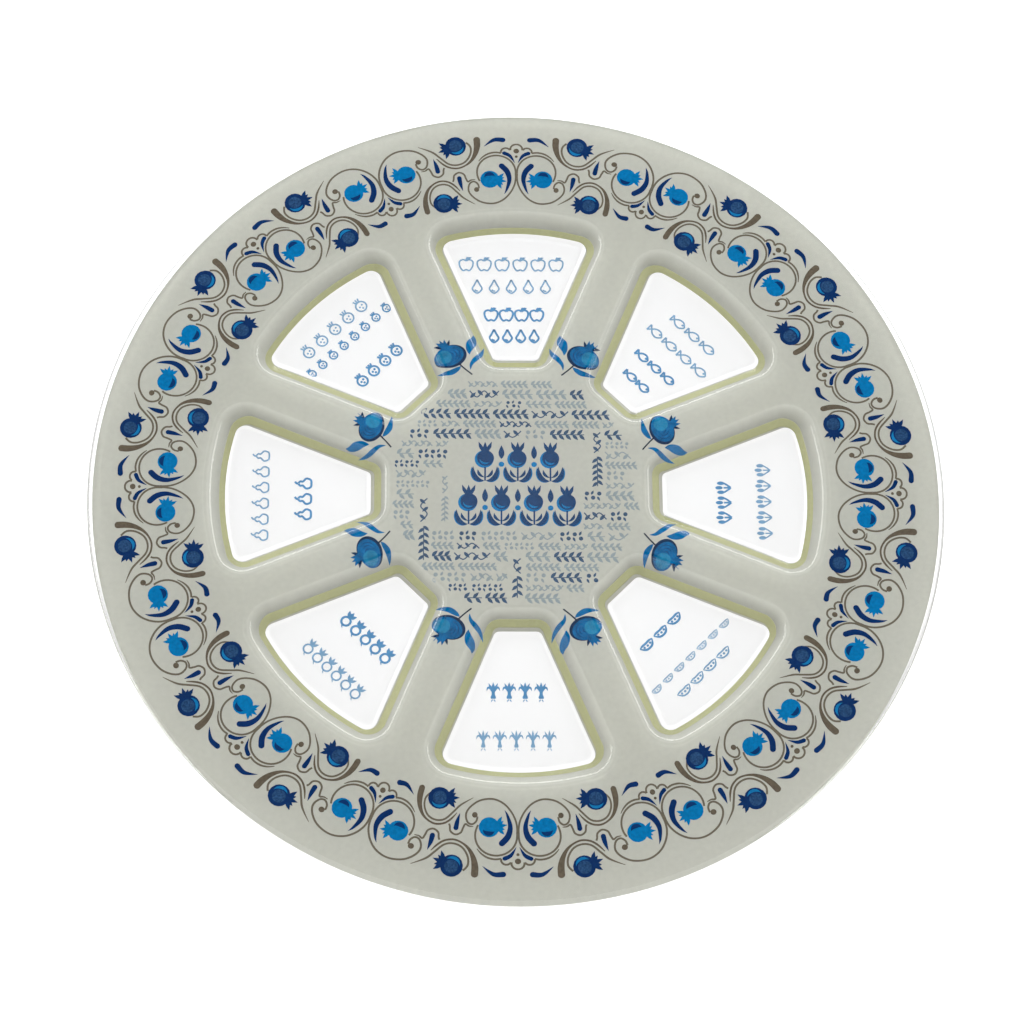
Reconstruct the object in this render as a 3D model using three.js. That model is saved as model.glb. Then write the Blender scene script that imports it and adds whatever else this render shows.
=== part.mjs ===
// Round glass plate for the symbolic foods of a festive table.
// One sheet of clear glass is pressed so that eight keystone wells drop below a flat rim, spokes and hub.
// The underside carries a fired silver-grey coat that stops short of each well's floor, so every floor is
// a clear window, and a fired olive border runs down the wall of each well to the edge of its window.
// The plate stands on the undersides of its well floors. The frame is +Z up, in millimetres, with the
// origin on the surface the plate stands on, below the centre. Well 1 points along +Y, and the others
// follow it clockwise seen from above.

import * as THREE from "three";

// Sheet
const plateRadius = 175;
const glassThickness = 4;
const edgeRadius = glassThickness / 2;

// Wells: the sheet bends down, runs straight along the wall, and bends level again at the floor
const wellCount = 8;
const wellDepth = 5.5;
const wallAngle = THREE.MathUtils.degToRad(33);
const floorFillet = 2.8;
const shoulderFillet = 2.6;

// Outline of a clear window, measured on the underside
const hubApothem = 58.9;
const spokeWidth = 27.1;
const windowArcRadius = 104;
const windowArcCentre = 16.3;
const windowOuterCorner = 5.2;
const windowInnerCorner = 3.6;
const windowEdgeRise = 0.8;

// Fired layers on the underside. The coat ends where the rounded edge of the sheet begins, and the border's
// outer edge is centred a little nearer the hub than its well.
const coatThickness = 0.2;
const borderWidth = 3.3;
const borderShift = 1;

// Facets
const rimSegments = 96;
const edgeSegments = 6;
const arcSegments = 6;
const outerCornerSegments = 4;
const innerCornerSegments = 3;
const tightBendSegments = 2;
const wideBendSegments = 3;

// Section of a well wall. Distances run outwards from the window's edge, and heights up from the table.
// The bend at the floor turns about a centre above the sheet, and the bend at the shoulder about one
// below it, so the sheet keeps its thickness all the way down.
const floorBendRadius = floorFillet + glassThickness;
const bendDrop = (floorBendRadius + shoulderFillet) * (1 - Math.cos(wallAngle));
const straightRun = (wellDepth - bendDrop) / Math.tan(wallAngle);
const bendCentres = (floorBendRadius + shoulderFillet) * Math.sin(wallAngle) + straightRun;
const windowBendAngle = Math.acos(1 - windowEdgeRise / floorBendRadius);
const floorEdge = -floorBendRadius * Math.sin(windowBendAngle);

// A point on the floor bend. depth is measured into the glass from the underside, negative below it.
function floorBendPoint(angle, depth) {
  const radius = floorBendRadius - depth;
  return {
    offset: floorEdge + radius * Math.sin(angle),
    height: floorBendRadius - radius * Math.cos(angle),
  };
}

function shoulderBendPoint(angle, depth) {
  const radius = shoulderFillet + depth;
  return {
    offset: floorEdge + bendCentres - radius * Math.sin(angle),
    height: wellDepth - shoulderFillet + radius * Math.cos(angle),
  };
}

// Where the border meets the coat, on the straight of the wall, in one direction from the well's middle.
function borderEdgePoint(direction, depth) {
  const low = floorBendPoint(wallAngle, depth);
  const high = shoulderBendPoint(wallAngle, depth);
  const width = borderWidth - borderShift * Math.cos(direction);
  const share = (width - floorBendPoint(wallAngle, 0).offset) / straightRun;
  return {
    offset: THREE.MathUtils.lerp(low.offset, high.offset, share),
    height: THREE.MathUtils.lerp(low.height, high.height, share),
  };
}

// A section is a list of functions from a direction to a point. A bend's points are alike all round.
function bend(pointAt, from, to, segments, depth) {
  const section = [];
  for (let i = 0; i <= segments; i++) {
    const point = pointAt(THREE.MathUtils.lerp(from, to, i / segments), depth);
    section.push(() => point);
  }
  return section;
}

// Sections of the layers, each listed from the flat of the rim down to the window.
const glassTopSection = [
  ...bend(shoulderBendPoint, 0, wallAngle, wideBendSegments, glassThickness),
  ...bend(floorBendPoint, wallAngle, 0, tightBendSegments, glassThickness),
];
const coatSection = (depth) => [
  ...bend(shoulderBendPoint, 0, wallAngle, tightBendSegments, depth),
  (direction) => borderEdgePoint(direction, depth),
];
const borderSection = (depth) => [
  (direction) => borderEdgePoint(direction, depth),
  ...bend(floorBendPoint, wallAngle, windowBendAngle, 1, depth),
];
const glassUndersideSection = [
  ...coatSection(0),
  ...borderSection(0).slice(1),
  ...bend(floorBendPoint, windowBendAngle, 0, tightBendSegments, 0).slice(1),
];

// Keystone outline. Its sides run beside spokes of even width, so they lean at half the pitch. Each
// station is a centre, a radius and a direction, so any parallel outline takes the same stations.
const sideLean = Math.PI / wellCount;

function cornerCentreX(y, radius) {
  return (y * Math.sin(sideLean) - spokeWidth / 2 - radius) / Math.cos(sideLean);
}

function outerCornerCentre() {
  // Where the line parallel to the side meets the circle parallel to the outer arc
  const radius = windowOuterCorner;
  const slope = Math.tan(sideLean);
  const start = cornerCentreX(0, radius);
  const reach = windowArcRadius - radius;
  const a = slope * slope + 1;
  const b = 2 * (slope * start - windowArcCentre);
  const c = start * start + windowArcCentre * windowArcCentre - reach * reach;
  const y = (-b + Math.sqrt(b * b - 4 * a * c)) / (2 * a);
  return { x: slope * y + start, y };
}

// Stations of one half, from the middle of the outer arc to the inner corner, clockwise from +Y.
function halfOutline() {
  const outer = outerCornerCentre();
  const innerY = hubApothem + windowInnerCorner;
  const innerX = cornerCentreX(innerY, windowInnerCorner);
  const arcEnd = Math.atan2(outer.x, outer.y - windowArcCentre);
  const sideNormal = Math.PI / 2 + sideLean;
  const stations = [];
  const sweep = (x, y, radius, from, to, first, segments) => {
    for (let i = first; i <= segments; i++) {
      stations.push({ x, y, radius, angle: THREE.MathUtils.lerp(from, to, i / segments) });
    }
  };
  sweep(0, windowArcCentre, windowArcRadius, 0, arcEnd, 1, arcSegments / 2);
  sweep(outer.x, outer.y, windowOuterCorner, arcEnd, sideNormal, 1, outerCornerSegments);
  sweep(innerX, innerY, windowInnerCorner, sideNormal, Math.PI, 0, innerCornerSegments);
  return stations;
}

const rightHalf = halfOutline();
const leftHalf = rightHalf.map((s) => ({ ...s, x: -s.x, angle: -s.angle }));
const crown = { x: 0, y: windowArcCentre, radius: windowArcRadius, angle: 0 };
const outlineStations = [crown, ...leftHalf, ...rightHalf.reverse()];

// Points of a section all round a well, counterclockwise.
function wellPoints(pointAt, well) {
  const axis = new THREE.Vector3(0, 0, 1);
  const turn = (-2 * Math.PI * well) / wellCount;
  return outlineStations.map(({ x, y, radius, angle }) => {
    const { offset, height } = pointAt(angle);
    const reach = radius + offset;
    const point = new THREE.Vector3(x + reach * Math.sin(angle), y + reach * Math.cos(angle), height);
    return point.applyAxisAngle(axis, turn);
  });
}

function circlePoints(radius, height) {
  const points = [];
  for (let i = 0; i < rimSegments; i++) {
    const angle = (2 * Math.PI * i) / rimSegments;
    points.push(new THREE.Vector3(radius * Math.cos(angle), radius * Math.sin(angle), height));
  }
  return points;
}

// A closed skin built from rings, which run counterclockwise seen from above.
class Skin {
  positions = [];
  faces = [];

  ring(points) {
    return points.map((point) => {
      this.positions.push(point.x, point.y, point.z);
      return { point, index: this.positions.length / 3 - 1 };
    });
  }

  // Joins two rings, with the lower one first where the faces look away from their middle.
  wall(first, second) {
    for (let i = 0; i < first.length; i++) {
      const next = (i + 1) % first.length;
      const [a, b, c, d] = [first[i], first[next], second[next], second[i]].map((v) => v.index);
      this.faces.push(a, b, c, a, c, d);
    }
  }

  // Fills the level area inside a ring and outside the holes.
  level(ring, holes, faceUp) {
    const corners = [ring, ...holes].flat();
    const contour = ring.map((v) => v.point);
    const triangles = THREE.ShapeUtils.triangulateShape(contour, holes.map((hole) => hole.map((v) => v.point)));
    for (const triangle of triangles) {
      const [a, b, c] = triangle.map((i) => corners[i]);
      const turnsLeft = b.point.clone().sub(a.point).cross(c.point.clone().sub(a.point)).z > 0;
      this.faces.push(...(turnsLeft === faceUp ? [a, b, c] : [a, c, b]).map((v) => v.index));
    }
  }

  geometry() {
    const geometry = new THREE.BufferGeometry();
    geometry.setAttribute("position", new THREE.Float32BufferAttribute(this.positions, 3));
    geometry.setIndex(this.faces);
    geometry.computeVertexNormals();
    return geometry;
  }
}

// Rings of one section of a well, from the rim's side to the window's.
function sectionRings(skin, section, well) {
  return section.map((pointAt) => skin.ring(wellPoints(pointAt, well)));
}

// Skins the steps between rings listed from high to low. facing is "well" or "table".
function skinSection(skin, rings, facing) {
  for (let i = 1; i < rings.length; i++) {
    const [high, low] = [rings[i - 1], rings[i]];
    if (facing === "well") skin.wall(high, low);
    else skin.wall(low, high);
  }
}

const wells = Array.from({ length: wellCount }, (_, well) => well);

function glassPlate() {
  const skin = new Skin();
  const rim = [];
  for (let i = 0; i <= edgeSegments; i++) {
    const angle = Math.PI * (i / edgeSegments - 0.5);
    const radius = plateRadius - edgeRadius * (1 - Math.cos(angle));
    rim.push(skin.ring(circlePoints(radius, wellDepth + edgeRadius * (1 + Math.sin(angle)))));
  }
  for (let i = 1; i < rim.length; i++) skin.wall(rim[i - 1], rim[i]);
  const tops = wells.map((well) => sectionRings(skin, glassTopSection, well));
  const undersides = wells.map((well) => sectionRings(skin, glassUndersideSection, well));
  for (const rings of tops) {
    skinSection(skin, rings, "well");
    skin.level(rings.at(-1), [], true);
  }
  for (const rings of undersides) {
    skinSection(skin, rings, "table");
    skin.level(rings.at(-1), [], false);
  }
  skin.level(rim.at(-1), tops.map((rings) => rings[0]), true);
  skin.level(rim[0], undersides.map((rings) => rings[0]), false);
  return skin.geometry();
}

// The coat covers the level underside and turns over each shoulder, down the wall to the border.
function silverCoat() {
  const skin = new Skin();
  const upperRim = skin.ring(circlePoints(plateRadius - edgeRadius, wellDepth));
  const lowerRim = skin.ring(circlePoints(plateRadius - edgeRadius, wellDepth - coatThickness));
  const uppers = wells.map((well) => sectionRings(skin, coatSection(0), well));
  const lowers = wells.map((well) => sectionRings(skin, coatSection(-coatThickness), well));
  skin.wall(lowerRim, upperRim);
  for (const well of wells) {
    skinSection(skin, uppers[well], "well");
    skin.wall(uppers[well].at(-1), lowers[well].at(-1));
    skinSection(skin, lowers[well], "table");
  }
  skin.level(upperRim, uppers.map((rings) => rings[0]), true);
  skin.level(lowerRim, lowers.map((rings) => rings[0]), false);
  return skin.geometry();
}

// The border round one window, against the outside of the well's wall.
function windowBorder(well) {
  const skin = new Skin();
  const inner = sectionRings(skin, borderSection(0), well);
  const outer = sectionRings(skin, borderSection(-coatThickness), well);
  skin.wall(outer[0], inner[0]);
  skinSection(skin, inner, "well");
  skin.wall(inner.at(-1), outer.at(-1));
  skinSection(skin, outer, "table");
  return skin.geometry();
}

const glassFinish = { color: 0xeef5f2, roughness: 0.04, metalness: 0, transparent: true, opacity: 0.35 };
const coatFinish = { color: 0xc4c5bd, roughness: 0.45, metalness: 0.25 };
const borderFinish = { color: 0xb6b878, roughness: 0.4, metalness: 0.2 };

function namedMesh(name, geometry, finish) {
  const mesh = new THREE.Mesh(geometry, new THREE.MeshStandardMaterial(finish));
  mesh.name = name;
  return mesh;
}

const plate = new THREE.Group();
plate.add(namedMesh("glass_plate", glassPlate(), glassFinish));
plate.add(namedMesh("silver_coat", silverCoat(), coatFinish));
for (const well of wells) {
  plate.add(namedMesh(`window_border_${well + 1}`, windowBorder(well), borderFinish));
}

export default plate;
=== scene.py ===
"""Looks of a round glass plate with eight keystone wells, printed on its underside.

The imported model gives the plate's size and place. The glass, its coat and its olive borders are drawn
again from the same section and outline with more facets, and the printed ornament lies between the
glass and the coat. Everything is in metres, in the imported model's frame: +Z up, the plate standing
on z = 0 below its centre, and well 1 towards +Y.
"""

import random
from math import acos, asin, atan2, cos, hypot, pi, radians, sin, sqrt, tan

import bpy
from mathutils import Matrix, Vector
from mathutils.geometry import tessellate_polygon


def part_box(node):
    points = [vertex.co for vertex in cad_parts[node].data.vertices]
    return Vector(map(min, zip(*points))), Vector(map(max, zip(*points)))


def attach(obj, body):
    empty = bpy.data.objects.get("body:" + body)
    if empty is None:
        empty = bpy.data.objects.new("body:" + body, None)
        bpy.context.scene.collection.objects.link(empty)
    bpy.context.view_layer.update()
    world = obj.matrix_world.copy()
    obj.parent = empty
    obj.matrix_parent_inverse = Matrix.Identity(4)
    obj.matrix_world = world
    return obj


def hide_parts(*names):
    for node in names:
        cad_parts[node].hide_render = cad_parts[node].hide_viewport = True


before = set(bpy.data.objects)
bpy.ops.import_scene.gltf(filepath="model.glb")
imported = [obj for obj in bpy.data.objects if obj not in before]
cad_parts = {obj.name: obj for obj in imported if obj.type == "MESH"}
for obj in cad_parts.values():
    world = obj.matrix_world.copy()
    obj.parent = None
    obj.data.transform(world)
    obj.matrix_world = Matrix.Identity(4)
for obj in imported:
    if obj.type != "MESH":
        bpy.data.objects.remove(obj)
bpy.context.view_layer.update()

MM = 0.001

# Sheet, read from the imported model
PLATE_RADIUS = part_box("glass_plate")[1].x
PLATE_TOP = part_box("glass_plate")[1].z
WELL_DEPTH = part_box("silver_coat")[1].z
GLASS_THICKNESS = PLATE_TOP - WELL_DEPTH
COAT_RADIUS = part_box("silver_coat")[1].x
COAT_THICKNESS = 0.2 * MM
EDGE_RADIUS = GLASS_THICKNESS / 2

# Section of a well's wall
WALL_ANGLE = radians(33)
FLOOR_FILLET = 2.8 * MM
SHOULDER_FILLET = 2.6 * MM
WINDOW_EDGE_RISE = 0.8 * MM
BORDER_WIDTH = 3.3 * MM
BORDER_SHIFT = 1 * MM
# The strip inside each olive border is painted shade: a darker grey for the shadowed floor seen through
# the clear glass
SHADE_STRIP_WIDTH = 1.4 * MM
BORDER_SPAN = (0, 1)
SHADE_STRIP_SPAN = (0.7, 2)
FLOOR_BEND_RADIUS = FLOOR_FILLET + GLASS_THICKNESS
BEND_DROP = (FLOOR_BEND_RADIUS + SHOULDER_FILLET) * (1 - cos(WALL_ANGLE))
STRAIGHT_RUN = (WELL_DEPTH - BEND_DROP) / tan(WALL_ANGLE)
BEND_CENTRES = (FLOOR_BEND_RADIUS + SHOULDER_FILLET) * sin(WALL_ANGLE) + STRAIGHT_RUN
WINDOW_BEND_ANGLE = acos(1 - WINDOW_EDGE_RISE / FLOOR_BEND_RADIUS)
FLOOR_EDGE = -FLOOR_BEND_RADIUS * sin(WINDOW_BEND_ANGLE)

# Outline of a window
WELL_COUNT = 8
SIDE_LEAN = pi / WELL_COUNT
HUB_APOTHEM = 58.9 * MM
SPOKE_WIDTH = 27.1 * MM
WINDOW_ARC_RADIUS = 104 * MM
WINDOW_ARC_CENTRE = 16.3 * MM
WINDOW_OUTER_CORNER = 5.2 * MM
WINDOW_INNER_CORNER = 3.6 * MM

# Facets
RIM_SEGMENTS = 360
EDGE_SEGMENTS = 20
ARC_SEGMENTS = 24
CORNER_SEGMENTS = 14
BEND_SEGMENTS = 14
BORDER_SEGMENTS = 10
LEVEL_STRIP = 0.15 * MM

# Layers: the coat and the inks reach a little into the glass, as fired enamel does, with no air between
COAT_DEPTH = 0.03 * MM
# Painted shade strip inside the borders: how far it reaches into the glass, and how thick it is
SHADE_STRIP_DEPTH = 0.02 * MM
SHADE_STRIP_THICKNESS = 0.15 * MM
INK_DEPTH = 0.05 * MM
INK_STEP = 0.01 * MM
INK_STAGGER = 9

# Print. The whole of it sits a little turned against the wells.
PRINT_TURN = radians(0.35)
BAND_RADIUS = 147.7 * MM
SPRIG_RADIUS = 66 * MM

# From here on a drawing's own units: millimetres and degrees
SCROLL_WIDTH = 0.4
FRUIT_LEAN = 14
HUB_FIELD_RADIUS = 52
GARLAND_CENTRE = (0, 3)
GARLAND_HALF_WIDTH = 27
GARLAND_HALF_HEIGHT = 20
GARLAND_PITCH = 13.4
GARLAND_SHIFT = 0.3
GARLAND_ROWS = ((12.6, 3), (-6.6, 4))

# Pen: half widths of pointed ends and of the thinnest line, half length of a disc's core, angles of the
# stations that round an end off, and the angle in radians at which an oval starts
TIP = 0.05
FINE_TIP = 0.04
THINNEST = 0.03
DISC_CORE = 0.01
CAP_ANGLES = (5, 25, 50, 70)
OVAL_START = 0.06

# Dark rim fruit: its radius, and the angle and length of each spike of its crown
FRUIT_RADIUS = 4.5
CROWN_SPIKES = ((-34, 7.3), (-17, 6.8), (0, 7.9), (17, 6.8), (34, 7.3))

# Brush marks in a sprig's fruit: middle, reach and half width, then the size, start and end of each mark
BRUSH_MIDDLE = (2.9, 0.2)
BRUSH_REACH = (5.7, 4.4)
BRUSH_WIDTH = 0.22
BRUSH_MARKS = ((0.8, 130, 262), (0.55, 118, 240), (0.3, 100, 215))

# Rows of the hub: height and share of dark runs of the thin and the bold rows, which take turns. A run's
# length is wished between two limits, and a run that finds less room than the shortest is left out.
HUB_ROWS = ((3.3, 0.1), (4.2, 0.5))
ROW_GAP = 0.75
TOP_MARGIN = 3
BOTTOM_MARGIN = 2
RAGGED_EDGE = 3
SHORTEST_WISH = 8
LONGEST_WISH = 17
SHORTEST_RUN = 5.5
RUN_STEP = 0.5
RUN_GAP = 1.4
HUB_SEED = 11

# Upright runs of the hub: x, lower end, upper end, height of the leaves and whether they are dark. Rows
# keep clear of them by a share of that height to the sides, and by a gap beyond their ends.
HUB_COLUMNS = (
    (-38, -31, -4, 4, True),
    (-29.5, -14, 6, 2.8, False),
    (33, 2, 26, 4, True),
    (0, -47, -30, 4, True),
)
COLUMN_CLEARANCE = 0.75
COLUMN_END_GAP = 2

# Drawings in the wells: half widths of their lines, and the wells whose drawings read towards the hub
THIN_LINE = 0.34
BOLD_LINE = 0.45
WELLS_READ_INWARDS = (3, 4, 5)


def lerp(a, b, t):
    return a + (b - a) * t


def spread(start, end, segments):
    """Evenly spaced values from start to end, both included."""
    return [lerp(start, end, i / segments) for i in range(segments + 1)]


# Section of the wall

def floor_bend(angle, depth):
    radius = FLOOR_BEND_RADIUS - depth
    return FLOOR_EDGE + radius * sin(angle), FLOOR_BEND_RADIUS - radius * cos(angle)


def shoulder_bend(angle, depth):
    radius = SHOULDER_FILLET + depth
    offset = FLOOR_EDGE + BEND_CENTRES - radius * sin(angle)
    return offset, WELL_DEPTH - SHOULDER_FILLET + radius * cos(angle)


def border_point(direction, across, depth):
    """A point of the layers round a window, by the direction from the well's middle.

    The olive border runs from the coat at across = 0 to a strip of darker grey at across = 1, and that
    strip runs to the clear glass at across = 2. The strip is painted shade, which stands for the shadowed
    floor seen through the clear foot of the wall. The border is centred a little nearer the hub than its
    well, so the strip is widest there and runs out to nothing at the outer arc.
    """
    outer = BORDER_WIDTH - BORDER_SHIFT * cos(direction)
    inner = SHADE_STRIP_WIDTH * (0.5 - 0.5 * cos(direction)) ** 2
    offset = lerp(outer, inner, across) if across <= 1 else inner * (2 - across)
    straight_start = floor_bend(WALL_ANGLE, 0)[0]
    if offset < straight_start:
        return floor_bend(asin((offset - FLOOR_EDGE) / FLOOR_BEND_RADIUS), depth)
    low, high = floor_bend(WALL_ANGLE, depth), shoulder_bend(WALL_ANGLE, depth)
    share = (offset - straight_start) / STRAIGHT_RUN
    return lerp(low[0], high[0], share), lerp(low[1], high[1], share)


def same_all_round(points):
    """A section's points as functions of the direction from the well's middle."""
    return [lambda direction, point=point: point for point in points]


def shoulder_section(depth):
    """From the level sheet over the shoulder to the straight of the wall."""
    level = shoulder_bend(0, depth)
    bend = [shoulder_bend(angle, depth) for angle in spread(0, WALL_ANGLE, BEND_SEGMENTS)]
    return same_all_round([(level[0] + LEVEL_STRIP, level[1])] + bend)


def floor_section(depth):
    """Round the bend at the foot of the wall to the level floor."""
    level = floor_bend(0, depth)
    bend = [floor_bend(angle, depth) for angle in spread(WALL_ANGLE, 0, BEND_SEGMENTS)]
    return same_all_round(bend + [(level[0] - LEVEL_STRIP, level[1])])


def coat_section(depth):
    return shoulder_section(depth) + [lambda direction: border_point(direction, 0, depth)]


def border_section(depth, start, end):
    stations = spread(start, end, BORDER_SEGMENTS)
    return [lambda direction, across=across: border_point(direction, across, depth) for across in stations]


def whole_section(depth):
    return shoulder_section(depth) + floor_section(depth)


def wall_height(offset, depth):
    """Height of the sheet's surface at a depth above the underside, offset outwards from the window."""
    shoulder_offset, shoulder_height = shoulder_bend(WALL_ANGLE, depth)
    floor_offset, floor_height = floor_bend(WALL_ANGLE, depth)
    if offset >= FLOOR_EDGE + BEND_CENTRES:
        return WELL_DEPTH + depth
    if offset >= shoulder_offset:
        angle = asin((FLOOR_EDGE + BEND_CENTRES - offset) / (SHOULDER_FILLET + depth))
        return shoulder_bend(angle, depth)[1]
    if offset >= floor_offset:
        t = (offset - floor_offset) / (shoulder_offset - floor_offset)
        return lerp(floor_height, shoulder_height, t)
    if offset > FLOOR_EDGE:
        return floor_bend(asin((offset - FLOOR_EDGE) / (FLOOR_BEND_RADIUS - depth)), depth)[1]
    return depth


# Keystone outline, as centre, radius and direction of each station

def corner_centre_x(y, radius):
    return (y * sin(SIDE_LEAN) - SPOKE_WIDTH / 2 - radius) / cos(SIDE_LEAN)


def outer_corner_centre():
    slope = tan(SIDE_LEAN)
    start = corner_centre_x(0, WINDOW_OUTER_CORNER)
    reach = WINDOW_ARC_RADIUS - WINDOW_OUTER_CORNER
    a = slope * slope + 1
    b = 2 * (slope * start - WINDOW_ARC_CENTRE)
    c = start * start + WINDOW_ARC_CENTRE ** 2 - reach * reach
    y = (-b + sqrt(b * b - 4 * a * c)) / (2 * a)
    return slope * y + start, y


OUTER_CORNER = outer_corner_centre()
INNER_CORNER_Y = HUB_APOTHEM + WINDOW_INNER_CORNER
INNER_CORNER = (corner_centre_x(INNER_CORNER_Y, WINDOW_INNER_CORNER), INNER_CORNER_Y)
ARC_END = atan2(OUTER_CORNER[0], OUTER_CORNER[1] - WINDOW_ARC_CENTRE)
SIDE_NORMAL = pi / 2 + SIDE_LEAN


def outline_stations():
    """Stations of the whole keystone, counterclockwise from the middle of its outer arc."""
    right = []
    for centre, radius, angles in (
        ((0, WINDOW_ARC_CENTRE), WINDOW_ARC_RADIUS, spread(0, ARC_END, ARC_SEGMENTS)[1:]),
        (OUTER_CORNER, WINDOW_OUTER_CORNER, spread(ARC_END, SIDE_NORMAL, CORNER_SEGMENTS)[1:]),
        (INNER_CORNER, WINDOW_INNER_CORNER, spread(SIDE_NORMAL, pi, CORNER_SEGMENTS)),
    ):
        right += [(*centre, radius, angle) for angle in angles]
    left = [(-x, y, radius, -angle) for x, y, radius, angle in right]
    return [(0, WINDOW_ARC_CENTRE, WINDOW_ARC_RADIUS, 0)] + left + right[::-1]


STATIONS = outline_stations()


def turned(x, y, angle):
    """The point turned clockwise seen from above."""
    return x * cos(angle) + y * sin(angle), y * cos(angle) - x * sin(angle)


def well_points(point_at, well):
    """Points of a section all round a well."""
    turn = 2 * pi * well / WELL_COUNT
    points = []
    for x, y, radius, angle in STATIONS:
        offset, height = point_at(angle)
        reach = radius + offset
        points.append((*turned(x + reach * sin(angle), y + reach * cos(angle), turn), height))
    return points


def circle(radius, height):
    angles = [2 * pi * i / RIM_SEGMENTS for i in range(RIM_SEGMENTS)]
    return [(radius * cos(a), radius * sin(a), height) for a in angles]


def window_distance(x, y):
    """Distance outwards from the nearest window's edge, negative inside it."""
    well = round(atan2(x, y) / (2 * SIDE_LEAN))
    x, y = turned(x, y, -2 * SIDE_LEAN * well)
    x = abs(x)
    corners = ((OUTER_CORNER, WINDOW_OUTER_CORNER, ARC_END, SIDE_NORMAL),
               (INNER_CORNER, WINDOW_INNER_CORNER, SIDE_NORMAL, pi))
    for (cx, cy), radius, start, end in corners:
        if start <= atan2(x - cx, y - cy) <= end:
            return hypot(x - cx, y - cy) - radius
    side = x * cos(SIDE_LEAN) - y * sin(SIDE_LEAN) + SPOKE_WIDTH / 2
    outer_arc = hypot(x, y - WINDOW_ARC_CENTRE) - WINDOW_ARC_RADIUS
    return max(side, outer_arc, HUB_APOTHEM - y)


def underside(x, y, depth):
    return wall_height(window_distance(x, y), depth)


# Meshes

def add_piece(name, data):
    piece = bpy.data.objects.new(name, data)
    bpy.context.scene.collection.objects.link(piece)
    return piece


def add_mesh(name, points, faces, material):
    mesh = bpy.data.meshes.new(name)
    mesh.from_pydata(points, [], faces)
    mesh.materials.append(material)
    return add_piece(name, mesh)


class Skin:
    """A closed skin built from rings, which run counterclockwise seen from above."""

    def __init__(self):
        self.points = []
        self.faces = []
        self.smooth = []

    def ring(self, points):
        first = len(self.points)
        self.points += points
        return list(range(first, len(self.points)))

    def face(self, corners, smooth):
        self.faces.append(corners)
        self.smooth.append(smooth)

    def wall(self, low, high, smooth=True):
        """Joins two rings, the lower one first where the faces look outwards."""
        for i in range(len(low)):
            j = (i + 1) % len(low)
            self.face((low[i], low[j], high[j], high[i]), smooth)

    def level(self, ring, holes, face_up):
        loops = [ring] + holes
        corners = [i for loop in loops for i in loop]
        for triangle in tessellate_polygon([[Vector(self.points[i]) for i in loop] for loop in loops]):
            a, b, c = (corners[i] for i in triangle)
            (ax, ay, _), (bx, by, _), (cx, cy, _) = (self.points[i] for i in (a, b, c))
            turns_left = (bx - ax) * (cy - ay) - (by - ay) * (cx - ax) > 0
            self.face((a, b, c) if turns_left == face_up else (a, c, b), False)

    def build(self, name, material):
        piece = add_mesh(name, self.points, self.faces, material)
        piece.data.polygons.foreach_set("use_smooth", self.smooth)
        return piece


def section_rings(skin, section, well):
    return [skin.ring(well_points(point_at, well)) for point_at in section]


def all_wells(skin, section):
    return [section_rings(skin, section, well) for well in range(WELL_COUNT)]


def skin_section(skin, rings, facing_well):
    """Skins the steps between rings listed from high to low."""
    for high, low in zip(rings, rings[1:]):
        if facing_well:
            skin.wall(high, low)
        else:
            skin.wall(low, high)


def rim_profile():
    """The rounded edge from the underside to the top, as (radius, height) pairs."""
    middle = PLATE_RADIUS - EDGE_RADIUS
    edge = [(middle + EDGE_RADIUS * cos(angle), WELL_DEPTH + EDGE_RADIUS * (1 + sin(angle)))
            for angle in spread(-pi / 2, pi / 2, EDGE_SEGMENTS)]
    return [(middle - LEVEL_STRIP, WELL_DEPTH)] + edge + [(middle - LEVEL_STRIP, PLATE_TOP)]


def make_glass(material):
    skin = Skin()
    rim = [skin.ring(circle(radius, height)) for radius, height in rim_profile()]
    for low, high in zip(rim, rim[1:]):
        skin.wall(low, high)
    tops = all_wells(skin, whole_section(GLASS_THICKNESS))
    undersides = all_wells(skin, whole_section(0))
    for rings in tops:
        skin_section(skin, rings, True)
        skin.level(rings[-1], [], True)
    for rings in undersides:
        skin_section(skin, rings, False)
        skin.level(rings[-1], [], False)
    skin.level(rim[-1], [rings[0] for rings in tops], True)
    skin.level(rim[0], [rings[0] for rings in undersides], False)
    return skin.build("plate_glass", material)


def make_coat(material):
    skin = Skin()
    upper_rim = skin.ring(circle(COAT_RADIUS, WELL_DEPTH + COAT_DEPTH))
    lower_rim = skin.ring(circle(COAT_RADIUS, WELL_DEPTH - COAT_THICKNESS))
    uppers = all_wells(skin, coat_section(COAT_DEPTH))
    lowers = all_wells(skin, coat_section(-COAT_THICKNESS))
    skin.wall(lower_rim, upper_rim, False)
    for upper, lower in zip(uppers, lowers):
        skin_section(skin, upper, True)
        skin.wall(upper[-1], lower[-1], False)
        skin_section(skin, lower, False)
    skin.level(upper_rim, [rings[0] for rings in uppers], True)
    skin.level(lower_rim, [rings[0] for rings in lowers], False)
    return skin.build("plate_coat", material)


def make_film(name, well, span, upper, lower, material):
    """A closed film on a well's wall. Its span across the wall counts as in border_point."""
    skin = Skin()
    top = section_rings(skin, border_section(upper, *span), well)
    bottom = section_rings(skin, border_section(lower, *span), well)
    skin.wall(bottom[0], top[0], False)
    skin_section(skin, top, True)
    skin.wall(top[-1], bottom[-1], False)
    skin_section(skin, bottom, False)
    return skin.build(name, material)


def make_border(well, material):
    return make_film(f"well_border_{well + 1}", well, BORDER_SPAN, COAT_DEPTH, -COAT_THICKNESS, material)


def make_shade_strip(well, material):
    """A strip of darker grey inside the olive border, which covers its outer edge. It is painted shade,
    for the shadowed floor seen through the clear foot of the wall.
    """
    name = f"well_painted_shade_{well + 1}"
    return make_film(name, well, SHADE_STRIP_SPAN, SHADE_STRIP_DEPTH, -SHADE_STRIP_THICKNESS, material)


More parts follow.
